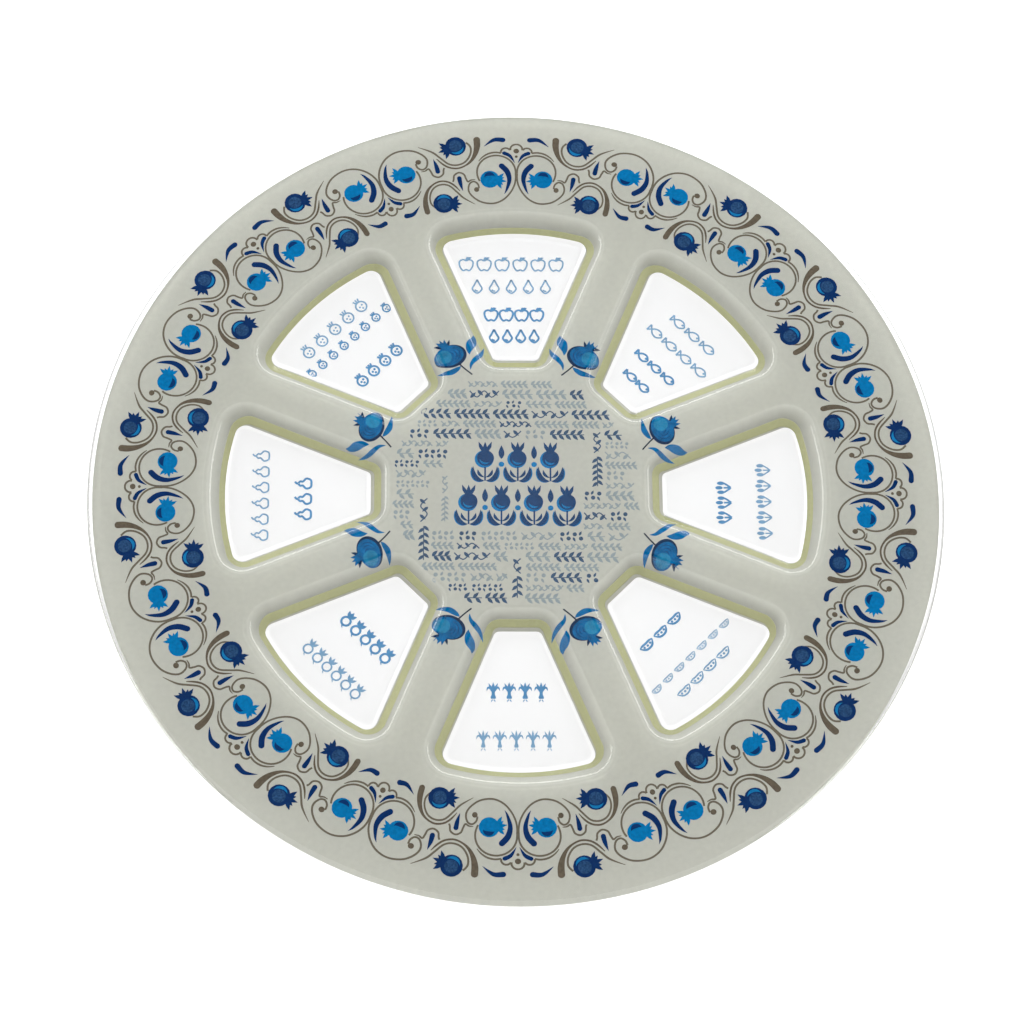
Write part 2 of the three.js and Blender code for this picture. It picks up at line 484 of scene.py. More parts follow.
# Print. Each layer is a set of closed ribbons in the glass, just above the coat. Drawings are in
# millimetres, and a place turns a drawing's point into a point of the plate.

def band_place(turn, outward, side):
    """Wraps a drawing round the plate. Its x runs along the middle of the band, its y across it."""
    def place(x, y):
        angle = turn + side * x * MM / BAND_RADIUS
        radius = BAND_RADIUS + outward * y * MM
        return radius * sin(angle), radius * cos(angle)
    return place


def spot_place(x, y, turn, outward=1, side=1, size=1):
    """Sets a drawing down rigidly at a point of the plate, its y turned clockwise from +Y."""
    def place(u, v):
        right = side * size * u * MM
        up = outward * size * v * MM
        return (x + right * cos(turn) + up * sin(turn),
                y - right * sin(turn) + up * cos(turn))
    return place


def arc(x, y, radius, start, end, width, segments=12):
    """A line of even half width, by angles in degrees counterclockwise from +x."""
    angles = [radians(a) for a in spread(start, end, segments)]
    return [(x + radius * cos(a), y + radius * sin(a), width) for a in angles]


def swept(points, segments=5):
    """A smooth line through points of x, y and half width."""
    padded = [points[0]] + list(points) + [points[-1]]
    line = []
    for before, start, end, after in zip(padded, padded[1:], padded[2:], padded[3:]):
        for i in range(segments):
            t = i / segments
            line.append(tuple(
                b + 0.5 * t * (c - a + t * (2 * a - 5 * b + 4 * c - d + t * (3 * (b - c) + d - a)))
                for a, b, c, d in zip(before, start, end, after)
            ))
    return line + [points[-1]]


def pen_line(width, *points):
    """A smooth line of one half width, times the third value of a point where it has one."""
    return swept([(x, y, width * (share[0] if share else 1)) for x, y, *share in points])


def mirrored(width, *half):
    """An outline through the points of its right half and their mirror images."""
    return pen_line(width, *half, *[(-x, y) for x, y in half[-2::-1]])


def round_cap(end, inner):
    """Stations that round off a line beyond its end."""
    x, y, width = end
    length = hypot(x - inner[0], y - inner[1])
    out_x = (x - inner[0]) / length
    out_y = (y - inner[1]) / length
    stations = []
    for angle in map(radians, CAP_ANGLES):
        reach = cos(angle)
        stations.append((x + out_x * width * reach, y + out_y * width * reach, width * sin(angle)))
    return stations


def drop(*points):
    """A stroke with a round first end, tapering as its half widths say."""
    line = swept(points)
    return round_cap(line[0], line[1]) + line


def disc(x, y, radius):
    """A dot, as a very short line with two round ends."""
    left = (x - DISC_CORE, y, radius)
    right = (x + DISC_CORE, y, radius)
    return round_cap(left, right) + [left, right] + round_cap(right, left)[::-1]


def oval(x, y, half_length, half_height, segments=24):
    """An ellipse with close stations, for ink that lies over a bend of the sheet."""
    angles = spread(OVAL_START, pi - OVAL_START, segments)
    return [(x - half_length * cos(a), y, half_height * sin(a)) for a in angles]


class Print:
    """One layer of ink, made of closed ribbons that follow the underside."""

    def __init__(self, name, level, material, slot):
        self.name = name
        self.level = level
        self.material = material
        self.slot = slot
        self.points = []
        self.faces = []
        self.strokes = 0

    def stroke(self, place, line, across=1, lift=0):
        """Lays down one ribbon. Every next one lies a shade higher, so no two faces share a plane."""
        stagger = (self.strokes % INK_STAGGER) * INK_STEP / INK_STAGGER
        top = INK_DEPTH + (self.level + lift) * INK_STEP + stagger
        self.strokes += 1
        first = len(self.points)
        for i, (x, y, width) in enumerate(line):
            (ax, ay, _), (bx, by, _) = line[max(i - 1, 0)], line[min(i + 1, len(line) - 1)]
            length = hypot(bx - ax, by - ay)
            side_x = (ay - by) / length
            side_y = (bx - ax) / length
            half = max(width, THINNEST)
            for depth in (top, top - INK_STEP / 2):
                for t in spread(-half, half, across):
                    plate_x, plate_y = place(x + side_x * t, y + side_y * t)
                    self.points.append((plate_x, plate_y, underside(plate_x, plate_y, depth)))
        self.skin_ribbon(first, len(line), across)

    def skin_ribbon(self, first, stations, across):
        """Faces of a ribbon. Each station has a row of points on top and the same row below it."""
        row = 2 * (across + 1)
        for i in range(stations - 1):
            near = first + i * row
            far = near + row
            for j in range(across):
                low = across + 1 + j
                self.faces.append((near + j, far + j, far + j + 1, near + j + 1))
                self.faces.append((near + low, near + low + 1, far + low + 1, far + low))
            for top_edge, low_edge in ((across, 2 * across + 1), (across + 1, 0)):
                self.faces.append((near + top_edge, far + top_edge, far + low_edge, near + low_edge))
        last = first + (stations - 1) * row
        for start, order in ((first, 1), (last, -1)):
            top_row = list(range(start, start + across + 1))
            low_row = list(range(start + across + 1, start + row))
            self.faces.append(tuple((top_row + low_row[::-1])[::order]))

    def build(self):
        piece = add_mesh(self.name, self.points, self.faces, self.material)
        piece.data.validate()
        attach(piece, "root")


def crown(layer, place, radius):
    """A pomegranate's crown on +x: a neck and the spikes that fan out from it."""
    layer.stroke(place, [(radius * 0.8, 0, radius * 0.52), (radius * 1.2, 0, radius * 0.4)])
    root = radius * 0.95
    for degrees, full_length in CROWN_SPIKES:
        angle = radians(degrees)
        length = full_length * radius / FRUIT_RADIUS
        stations = (
            (root, angle * 0.5, radius * 0.24),
            (lerp(root, length, 0.5), angle * 0.85, radius * 0.16),
            (length, angle, FINE_TIP),
        )
        spike = [(reach * cos(a), reach * sin(a), width) for reach, a, width in stations]
        layer.stroke(place, spike)


# Scroll band of the rim

def band_fruit(turn, outward, side, x, y, radius, tilt, body, *shades):
    """A fruit at a place of the band, its crown turned by tilt degrees from the band's direction."""
    angle = turn + side * x * MM / BAND_RADIUS
    flat = spot_place(*band_place(turn, outward, side)(x, y), angle, outward, side)
    lean_x = cos(radians(tilt))
    lean_y = sin(radians(tilt))

    def place(u, v):
        return flat(u * lean_x - v * lean_y, u * lean_y + v * lean_x)

    body.stroke(place, disc(0, 0, radius))
    crown(body, place, radius)
    for layer, line in shades:
        layer.stroke(place, line)


def crescent(radius, start, end, width):
    """A thin moon inside a fruit, pointed at both ends."""
    line = arc(0, 0, radius, start, end, 0, 10)
    return [(x, y, width * sin(pi * i / 10)) for i, (x, y, _) in enumerate(line)]


def band_scrolls(place, layer):
    """Thin lines of one half of a unit."""
    for line in (
        # The double scroll round the small fruit, and its curl
        arc(8.6, -1.3, 8.3, -25, 184, SCROLL_WIDTH, 28),
        pen_line(SCROLL_WIDTH, (0.35, -1.9), (0.3, -4.2), (0.9, -7.4), (2.7, -10.9), (5.6, -13.9),
                 (9.2, -15.6), (12.9, -15.8), (16.9, -14.6), (19.9, -12.2), (21.5, -9.6), (21.5, -7.3),
                 (20.4, -5.3), (18.6, -4.8), (17.1, -6.2), (16.8, -8.2)),
        # The loop round the hanging drop
        pen_line(SCROLL_WIDTH, (18.0, -3.9, 0.4), (19.8, -3.9, 0.8), (21.3, -4.5), (22.0, -2.8),
                 (22.6, -0.8), (24.6, 0.3), (26.7, -0.7), (27.3, -2.6), (27.8, -3.6)),
        # The trefoil over the middle
        arc(0, 9.8, 2.4, 90, -10, SCROLL_WIDTH),
        arc(4.3, 8.5, 1.95, 150, -10, SCROLL_WIDTH),
        pen_line(SCROLL_WIDTH, (6.2, 8.1), (8.6, 8.5), (11.4, 8.0), (13.8, 6.6, 0.8), (15.6, 4.8, 0.4)),
        # The outer one of two lines that cradle the large fruit
        pen_line(SCROLL_WIDTH, (19.7, 14.3), (18.2, 11.8), (18.7, 8.3), (21.1, 5.1), (24.6, 4.0),
                 (28.1, 5.1), (31.1, 8.8), (33.6, 12), (38.4, 15.6, 0.3)),
    ):
        layer.stroke(place, line)


def band_club(place, layer):
    """The heavy stroke by the large fruit, which thins to a line round it, and the dot in the curl."""
    thin = SCROLL_WIDTH
    layer.stroke(place, drop((15.4, 15.2, 1.3), (15.6, 12, 1.25), (16.6, 8.5, 0.95), (18.6, 5.3, 0.6),
                             (21.3, 3.3, thin), (24.6, 2.4, thin), (28, 3.3, thin), (30.5, 5.5, thin),
                             (32.5, 8.5, thin * 0.4)))
    layer.stroke(place, disc(18.0, -8.7, 1.15))


def band_drops(place, layer):
    for points in (
        drop((24.8, -2.4, 1.0), (24.7, -5.2, 0.8), (24.2, -8.6, TIP)),
        drop((4.9, 8.0, 0.85), (2.6, 6.6, 0.7), (0.6, 3.2, TIP)),
        drop((6.2, 1.9, 1.2), (3.9, -1, 1.2), (3.1, -5, 0.95), (4.4, -9.5, 0.5), (5.6, -11.6, TIP)),
        drop((5.3, 14.4, 1.1), (8.8, 14.5, 0.85), (12.9, 11.6, TIP)),
    ):
        layer.stroke(place, points)


def band_half(turn, outward, side, layers):
    """One half of a unit: scrolls, a club, drops, a dark fruit outside them and a bright one inside."""
    place = band_place(turn, outward, side)
    band_scrolls(place, layers["band_scrolls"])
    band_club(place, layers["band_clubs"])
    band_drops(place, layers["band_drops"])
    middle = (layers["band_fruit_middles"], oval(0, 0.3, 2.7, 2.7, 14))
    glow = (layers["band_fruit_glow"], crescent(3.3, 205, 325, 0.6))
    shadow = (layers["band_fruit_shadow"], crescent(2.6, 195, 315, 0.95))
    dark, bright = layers["band_fruits_dark"], layers["band_fruits_bright"]
    band_fruit(turn, outward, side, 24.0, 13.0, FRUIT_RADIUS, -FRUIT_LEAN * outward, dark, middle, glow)
    band_fruit(turn, outward, side, 11.6, -4.3, 4.1, 192, bright, shadow)


def rim_band(layers):
    """Sixteen units, alternately facing outwards and inwards, each of two mirrored halves."""
    for unit in range(2 * WELL_COUNT):
        turn = PRINT_TURN + unit * SIDE_LEAN
        outward = 1 if unit % 2 == 0 else -1
        for side in (1, -1):
            band_half(turn, outward, side, layers)
        middle = band_place(turn, outward, 1)
        layers["band_clubs"].stroke(middle, disc(0, 9.0, 1.15))
        layers["band_clubs"].stroke(middle, disc(0, 6.3, 0.6))


# Sprigs between the wells

def brush_mark(size, start, end):
    """A mark that follows the fruit's outline at a share of its size, by angles in degrees."""
    (x, y), (reach_x, reach_y) = BRUSH_MIDDLE, BRUSH_REACH
    line = []
    for share in spread(0, 1, 16):
        angle = radians(lerp(start, end, share))
        width = BRUSH_WIDTH * sin(pi * share)
        line.append((x + reach_x * size * cos(angle), y + reach_y * size * sin(angle), width))
    return line


def sprig_fruit(place, layers):
    """A fruit in three tones with brush marks, its crown on +y with a dark spike at either side."""
    body, dark = layers["sprig_bodies"], layers["sprig_shades"]
    dark.stroke(place, oval(2.2, -0.3, 6.5, 5.1), across=20)
    body.stroke(place, oval(2.7, 0.2, 5.9, 4.5), across=18)
    layers["sprig_lights"].stroke(place, oval(4.9, 0.3, 2.9, 3.0), across=12)
    for mark in BRUSH_MARKS:
        layers["sprig_strokes"].stroke(place, brush_mark(*mark))
    body.stroke(place, [(3.0, 3.6, 1.7), (3.3, 5.4, 1.5)])
    for x, y in ((2.2, 8.0), (4.2, 8.2), (5.9, 7.5)):
        body.stroke(place, [(lerp(3.2, x, 0.1), 4.3, 0.8), (lerp(3.2, x, 0.6), 6.1, 0.8), (x, y, TIP)])
    dark.stroke(place, swept(((2.4, 4.2, 0.6), (1.2, 5.6, 0.6), (0.2, 7.0, TIP))))
    dark.stroke(place, swept(((4.4, 4.2, 0.5), (5.8, 5.4, 0.6), (7.1, 6.1, TIP))))


def sprig(turn, side, layers):
    """A fruit on a spoke with a stem and three leaves."""
    place = spot_place(SPRIG_RADIUS * sin(turn), SPRIG_RADIUS * cos(turn), turn, 1, side)
    sprig_fruit(place, layers)
    layers["sprig_stems"].stroke(place, swept(((0.4, -4.9, 0.35), (-1.0, -8.0, 0.3), (-2.7, -11.2, 0.32))))
    for blade in (
        ((0.3, -6.0, 0.1), (2.0, -6.6, 0.9), (5.0, -7.1, 1.2), (7.8, -6.5, 0.7), (9.6, -5.7, TIP)),
        ((-2.9, -8.8, 0.1), (-4.2, -6.6, 0.7), (-6.8, -4.9, 1.0), (-9.3, -3.0, 0.75), (-11.3, -0.6, TIP)),
        ((-5.1, -2.3, 0.1), (-5.8, 0.0, 1.2), (-7.3, 2.4, 1.65), (-8.6, 4.2, 1.1), (-9.2, 6.0, TIP)),
    ):
        layers["sprig_leaves"].stroke(place, swept(blade, 8), across=8)


def sprigs(layers):
    for gap in range(WELL_COUNT):
        turn = PRINT_TURN + (2 * gap + 1) * SIDE_LEAN
        sprig(turn, 1 if gap % 2 == 0 else -1, layers)


# Hub: rows of small leaves and berries round a bold garland

def leaf(x, y, angle, length, width):
    """A pointed leaf from its stalk outwards, widest a little before its middle."""
    out_x = cos(radians(angle))
    out_y = sin(radians(angle))
    line = []
    for share in spread(0, 1, 8):
        half = max(width * sin(pi * share ** 0.8), FINE_TIP)
        line.append((x + out_x * length * share, y + out_y * length * share, half))
    return line


def even_pitch(start, end, about):
    """How many steps of about this length lie between start and end, and how long each is."""
    count = max(2, round((end - start) / about))
    return count, (end - start) / count


def twig_run(place, layer, start, end, y, height):
    """A twig of paired leaves, from start to end."""
    count, pitch = even_pitch(start, end, 0.72 * height)
    length = 0.78 * height
    width = 0.17 * height
    layer.stroke(place, [(start, y, 0.2), (end, y, 0.2)])
    for i in range(count):
        x = start + i * pitch
        layer.stroke(place, leaf(x, y, 46, length, width))
        layer.stroke(place, leaf(x + 0.3 * pitch, y, -46, length, width))


def berry_run(place, layer, start, end, y, height):
    """A row of berries, alternately up and down, with a leaf by each."""
    count, pitch = even_pitch(start, end, 0.62 * height)
    for i in range(count):
        side = 1 if i % 2 == 0 else -1
        x = start + (i + 0.5) * pitch
        stalk_x = x - 0.3 * pitch
        stalk_y = y - side * 0.1 * height
        layer.stroke(place, disc(x, y + side * 0.22 * height, 0.21 * height))
        layer.stroke(place, leaf(stalk_x, stalk_y, -side * 62, 0.5 * height, 0.12 * height))


def wave_run(place, layer, start, end, y, height):
    """A wavy tendril with a leaf in each hollow."""
    count, pitch = even_pitch(start, end, 0.8 * height)
    sides = [1 if i % 2 == 0 else -1 for i in range(count + 1)]
    wave = [(start + i * pitch, y + side * 0.34 * height) for i, side in enumerate(sides)]
    layer.stroke(place, pen_line(0.26, *wave))
    for i, side in enumerate(sides[:-1]):
        stalk_x = start + (i + 0.1) * pitch
        stalk_y = y - side * 0.42 * height
        layer.stroke(place, leaf(stalk_x, stalk_y, side * 48, 0.8 * height, 0.17 * height))


def taken(x, y):
    """Whether the garland or an upright run holds this point of the hub."""
    centre_x, centre_y = GARLAND_CENTRE
    if abs(x - centre_x) < GARLAND_HALF_WIDTH and abs(y - centre_y) < GARLAND_HALF_HEIGHT:
        return True
    return any(
        abs(x - column) < COLUMN_CLEARANCE * height and low - COLUMN_END_GAP < y < high + COLUMN_END_GAP
        for column, low, high, height, _ in HUB_COLUMNS
    )


def hub_layer(layers, dark):
    return layers["hub_leaves_dark" if dark else "hub_leaves_grey"]


def hub_columns(layers):
    """The upright runs beside and below the garland, each a twig with a tendril above it."""
    upright = spot_place(0, 0, PRINT_TURN + pi / 2)
    for x, low, high, height, dark in HUB_COLUMNS:
        layer = hub_layer(layers, dark)
        twig_run(upright, layer, -lerp(low, high, 0.55), -low, x, height)
        wave_run(upright, layer, -high, -lerp(low, high, 0.62), x, height)


def hub_row(place, layers, y, reach, height, dark_share, dice):
    """One row of the hub's field, from end to end. A run stops short of a place that is taken."""
    x = -reach
    while x < reach:
        longest = min(dice.uniform(SHORTEST_WISH, LONGEST_WISH), reach - x)
        length = 0
        while length < longest and not taken(x + length, y):
            length += RUN_STEP
        if length >= SHORTEST_RUN:
            dark = dice.random() < dark_share
            run = dice.choice((twig_run, twig_run, berry_run, wave_run))
            run(place, hub_layer(layers, dark), x, x + length - RUN_GAP, y, height)
        x += max(length, RUN_STEP)


def hub_field(layers, dice):
    """Fills the hub's round field row by row, from the far side to the near one."""
    place = spot_place(0, 0, PRINT_TURN)
    y = HUB_FIELD_RADIUS - TOP_MARGIN
    row = 0
    while y > -HUB_FIELD_RADIUS + BOTTOM_MARGIN:
        height, dark_share = HUB_ROWS[row % 2]
        middle = y - height / 2
        reach = sqrt(max(HUB_FIELD_RADIUS ** 2 - middle * middle, 0)) - dice.uniform(0, RAGGED_EDGE)
        hub_row(place, layers, middle, reach, height, dark_share, dice)
        y -= height + ROW_GAP
        row += 1


def garland_sprig(place, x, y, layers):
    """One upright sprig of the hub's garland, 17 mm tall: a crowned fruit over curled leaves."""
    dark, bright = layers["garland_dark"], layers["garland_bright"]

    def here(u, v):
        return place(x + u, y + v)

    bright.stroke(here, oval(-0.4, 1.0, 3.9, 3.9, 14))
    dark.stroke(here, oval(0.15, 1.5, 3.5, 3.5, 14))
    bright.stroke(lambda u, v: here(u + 0.15, v + 1.5), crescent(2.4, 190, 310, 0.45), lift=2)
    dark.stroke(here, [(0.1, 4.4, 1.6), (0.1, 5.6, 1.3)])
    for tip in (-2.7, 0, 2.7):
        dark.stroke(here, [(tip * 0.3, 5.0, 0.8), (tip * 0.7, 6.7, 0.75), (tip, 8.7, TIP)])
    dark.stroke(here, [(0, -2.4, 0.35), (0, -8.6, 0.35)])
    outer = ((0.4, -8.6, 0.1), (2.3, -8.3, 0.8), (4.0, -6.9, 1.05), (4.9, -4.6, 0.75), (4.9, -2.2, TIP))
    inner = ((0.3, -7.0, 0.1), (1.5, -6.5, 0.45), (2.6, -5.3, 0.6), (3.0, -3.6, TIP))
    for side in (1, -1):
        dark.stroke(here, swept([(side * u, v, width) for u, v, width in outer]))
        bright.stroke(here, swept([(side * (u + 0.55), v - 0.3, width * 0.8) for u, v, width in outer]))
        dark.stroke(here, swept([(side * u, v, width) for u, v, width in inner]))


def garland(layers):
    """Rows of sprigs, with a bud and a dot in each gap between two of them."""
    place = spot_place(0, 0, PRINT_TURN)
    for y, count in GARLAND_ROWS:
        places = [GARLAND_SHIFT + (i - (count - 1) / 2) * GARLAND_PITCH for i in range(count)]
        for x in places:
            garland_sprig(place, x, y, layers)
        for x in places[:-1]:
            between = x + GARLAND_PITCH / 2
            layers["garland_bright"].stroke(place, disc(between, y - 1.2, 1.15))
            layers["garland_dark"].stroke(place, leaf(between, y + 1.2, 90, 6, 1.2))


# Wells: rows of small drawings of the food that each one holds, 4 to 9 mm long

def apple(width):
    return [
        mirrored(width, (0, 1.5), (1.3, 2.1), (2.8, 1.2), (2.7, -1.0), (1.4, -3.0), (0, -2.6)),
        pen_line(width, (0, 1.5), (0.1, 2.4), (0.6, 3.3)),
        leaf(0.3, 2.4, 20, 2.2, width * 1.6),
    ]


def honey(width):
    """A drop with a line of light in it."""
    return [
        mirrored(width, (0, 3.2), (1.1, 0.9), (2.0, -1.2), (0, -3.1)),
        arc(0, -1.1, 1.0, 200, 290, width),
    ]


def fish(width):
    """Two mirrored lines that cross at the tail, the tail's edge and an eye."""
    back = ((3.4, 0), (1.6, 1.6), (-0.6, 1.4), (-2.3, 0), (-3.7, -1.5))
    return [
        pen_line(width, *back),
        pen_line(width, *[(x, -y) for x, y in back]),
        [(-3.7, -1.5, width), (-3.7, 1.5, width)],
        disc(2.0, 0.4, width * 1.3),
    ]


def dates(width):
    """Three hanging dates, whose stalks meet above them."""
    fruit = [oval(x, y, 0.75, 1.45, 10) for x, y in ((-1.9, -0.9), (0, -1.6), (1.9, -0.9))]
    stalks = [pen_line(width, (x, y, 0.8), (x * 0.6, 1.6, 0.8), (0, 3.0))
              for x, y in ((-1.9, 0.4), (0, 0.2), (1.9, 0.4))]
    return fruit + stalks


def bean(width):
    """A pod with three peas."""
    pod = [pen_line(width, (-3.4, 0.8, 0.5), (-1.9, side), (0, middle), (1.9, side), (3.4, 0.8, 0.5))
           for side, middle in ((-1.0, -1.5), (1.1, 1.0))]
    return pod + [disc(x, y, 0.5) for x, y in ((-1.6, 0), (0, -0.2), (1.6, 0))]


def leek(width):
    """A bulb with roots, a stalk and drooping leaves."""
    stalk = pen_line(width, (0, -2.9, 1.8), (0, -2.3, 2.3), (0, -1.2, 1.4), (0, 0.4, 1.4))
    lines = [stalk, leaf(0, 0.2, 90, 3.5, 1.3 * width)]
    for side in (1, -1):
        drooping = ((0.2, 0, width), (1.3, 1.5, width), (2.1, 1.4, width * 0.8), (2.5, 0.3, FINE_TIP))
        lines.append(leaf(side * 0.2, 0.2, 90 - side * 27, 3.5, 1.1 * width))
        lines.append(swept([(side * x, y, half) for x, y, half in drooping]))
        lines.append([(side * 0.2, -3.2, width * 0.4), (side * 0.8, -4.0, width * 0.4)])
    return lines


def beet(width):
    """A round root with its tail and three leaves."""
    tail = pen_line(width, (0, -2.8), (0.2, -3.4, 0.6), (0.8, -3.9, 0.3))
    leaves = [leaf(x, 0.8, angle, 2.8, 1.6 * width) for x, angle in ((0, 90), (-0.3, 125), (0.3, 55))]
    return [arc(0, -1.0, 1.8, 0, 360, width, 20), tail] + leaves


def gourd(width):
    return [
        mirrored(width, (0.2, 2.0), (1.0, 1.2), (0.9, 0.2), (2.2, -1.2), (1.6, -3.0), (0, -3.3)),
        pen_line(width, (0, 2.0), (0.1, 2.8), (0.9, 3.4)),
    ]


def pomegranate(width):
    """A round fruit with three spikes and three seeds."""
    spikes = [[(base, 1.2, width), (x, y, width)]
              for base, x, y in ((0, 0, 3.0), (-0.6, -1.3, 2.9), (0.6, 1.3, 2.9))]
    seeds = [disc(x, y, width * 1.2) for x, y in ((-0.7, -0.9), (0.7, -0.5), (0.1, -2.0))]
    return [arc(0, -0.9, 2.3, 0, 360, width, 24)] + spikes + seeds


def food_row(layer, width, well, radius, shift, count, pitch, drawing, size):
    """A straight row of drawings across a well."""
    turn = 2 * SIDE_LEAN * well
    upright = -1 if well in WELLS_READ_INWARDS else 1
    for i in range(count):
        across = (shift + (i - (count - 1) / 2) * pitch) * MM
        x, y = turned(across, radius * MM, turn)
        place = spot_place(x, y, turn, upright, upright, size)
        for line in drawing(width):
            layer.stroke(place, line)


# Rows of drawings: well, distance from the plate's centre, shift to the side, how many, how far apart,
# drawing and size
PALE_ROWS = (
    (0, 105.5, -1.5, 6, 7.6, apple, 1),
    (0, 95, -1.5, 5, 7.2, honey, 1),
    (1, 104, 1.5, 3, 8.4, fish, 1),
    (1, 94, 2, 4, 8.4, fish, 1),
    (2, 101.5, 2.5, 5, 7, dates, 1.05),
    (3, 107, 1.2, 4, 7.6, bean, 1),
    (3, 98.7, 0.2, 7, 6.6, bean, 0.75),
    (4, 105.3, 1, 5, 6.6, leek, 1.1),
    (5, 106, -1.2, 6, 5.4, beet, 1.05),
    (6, 105, -0.5, 6, 7, gourd, 1),
    (7, 107, -0.5, 5, 7.6, pomegranate, 1),
)
BOLD_ROWS = (
    (0, 82, -0.5, 4, 6.4, apple, 0.95),
    (0, 72, -0.5, 4, 5.6, honey, 0.95),
    (1, 82, 0.5, 3, 7.4, fish, 0.9),
    (1, 72, -0.5, 2, 7, fish, 0.9),
    (2, 85, 3, 3, 6.6, dates, 1.05),
    (3, 83, 1.2, 3, 8, bean, 1),
    (4, 85, 0.5, 4, 6.4, leek, 1.05),
    (5, 87, -1.2, 5, 5.6, beet, 1.05),
    (6, 87.5, -2, 3, 6.8, gourd, 1),
    (7, 98.7, 0, 8, 6.2, pomegranate, 0.72),
    (7, 82, 1, 4, 6.6, pomegranate, 0.95),
)


def well_foods(layers):
    for row in PALE_ROWS:
        food_row(layers["well_drawings_pale"], THIN_LINE, *row)
    for row in BOLD_ROWS:
        food_row(layers["well_drawings_bold"], BOLD_LINE, *row)


# Materials. Enamels have a colour, how much it drifts, and how finely, in cells per metre.

GLASS_IOR = 1.5
ENAMEL_ROUGHNESS = 0.55
ENAMEL_DETAIL = 4
ENAMEL_CONTRAST = 2.5
SILVER_ENAMEL = ((0.567, 0.57, 0.505), 0.03, 500)
# Darker grey of the strip inside each border: painted shade for the shadowed floor seen through the clear
# glass
SHADE_STRIP_ENAMEL = ((0.53, 0.525, 0.455), 0.03, 500)
OLIVE_ENAMEL = ((0.475, 0.48, 0.245), 0.05, 700)


def new_material(name, colour, roughness, **sockets):
    material = bpy.data.materials.new(name)
    material.use_nodes = True
    shader = material.node_tree.nodes["Principled BSDF"]
    shader.inputs["Base Color"].default_value = (*colour, 1)
    shader.inputs["Roughness"].default_value = roughness
    for socket, value in sockets.items():
        shader.inputs[socket].default_value = value
    return material, shader


def add_node(tree, kind, **values):
    """A node with its inputs, or else its settings, set by name."""
    node = tree.nodes.new(kind)
    for name, value in values.items():
        if name in node.inputs:
            node.inputs[name].default_value = value
        else:
            setattr(node, name, value)
    return node


def mix(tree, kind, first, second):
    node = add_node(tree, "ShaderNodeMixRGB", blend_type=kind, Fac=1)
    tree.links.new(first, node.inputs["Color1"])
    tree.links.new(second, node.inputs["Color2"])
    return node.outputs["Color"]


def noise(tree, scale, detail):
    """Noise over the object's own coordinates. scale is in cells per metre."""
    place = add_node(tree, "ShaderNodeTexCoord")
    field = add_node(tree, "ShaderNodeTexNoise", Scale=scale, Detail=detail)
    tree.links.new(place.outputs["Object"], field.inputs["Vector"])
    return field.outputs["Fac"]


def mottle(material, shader, low, high, scale, detail, contrast):
    """Colour that drifts between low and high."""
    tree = material.node_tree
    ramp = add_node(tree, "ShaderNodeValToRGB")
    ramp.color_ramp.elements[0].position = 0.5 - 0.5 / contrast
    ramp.color_ramp.elements[1].position = 0.5 + 0.5 / contrast
    ramp.color_ramp.elements[0].color = (*low, 1)
    ramp.color_ramp.elements[1].color = (*high, 1)
    tree.links.new(noise(tree, scale, detail), ramp.inputs["Fac"])
    tree.links.new(ramp.outputs["Color"], shader.inputs["Base Color"])
    return ramp.outputs["Color"]


def shade(colour, factor):
    return tuple(c * factor for c in colour)


def linear(value):
    """Linear light from a display value of 0 to 255."""
    share = value / 255
    return share / 12.92 if value < 11 else ((share + 0.055) / 1.055) ** 2.4


def glass_material():
    material, shader = new_material("clear_glass", (1, 1, 1), 0.0, IOR=GLASS_IOR)
    shader.inputs["Transmission Weight"].default_value = 1
    return material


def enamel(name, colour, drift, scale):
    """Fired enamel or ink. Glass covers it without a gap, so it has no shine of its own."""
    material, shader = new_material(name, colour, ENAMEL_ROUGHNESS)
    shader.inputs["Specular IOR Level"].default_value = 0
    low = shade(colour, 1 - drift)
    high = shade(colour, 1 + drift)
    mottle(material, shader, low, high, scale, ENAMEL_DETAIL, ENAMEL_CONTRAST)
    return material


# Floor. It glows like a light table, but its glow and its tone vary in rings round the plate's centre and
# paint
# light and shade: a painted glow keeps the windows evenly pale where the plate would shade them, the floor
# under the rim is darker as painted shade, and the glow rises again from under the rim's edge outwards, so
# no wide shadow rings the rim.

FLOOR_HALF_SIZE = 3.0
FLOOR_DROP = 0.3 * MM
FLOOR_GREYS = (0.925, 0.93, 0.935)
FLOOR_MOTTLE = {"scale": 8, "detail": 2, "contrast": 2}
FLOOR_ROUGHNESS = 0.9
FLOOR_REACH = 200

# Its painted glow and its tone with painted shade, as distance from the plate's centre in millimetres and
# strength
FLOOR_PAINTED_GLOW = ((124, 0.72), (140, 0.1), (166.4, 0.1), (168.4, 0.35),
              (171.6, 0.35), (172.8, 0.75), (180, 0.5))
FLOOR_PAINTED_SHADE = ((124, 0.33), (140, 0.5), (152, 0.3), (166.4, 0.3), (168.4, 0.5),
              (171.6, 0.5), (172.8, 0.65))


def grey_ramp(tree, value, stops):
    """A grey ramp over a value, given as pairs of position and brightness."""
    ramp = add_node(tree, "ShaderNodeValToRGB")
    elements = ramp.color_ramp.elements
    while len(elements) < len(stops):
        elements.new(0.5)
    for element, (position, brightness) in zip(elements, stops):
        element.position = position
        element.color = (brightness, brightness, brightness, 1)
    tree.links.new(value, ramp.inputs["Fac"])
    return ramp.outputs["Color"]


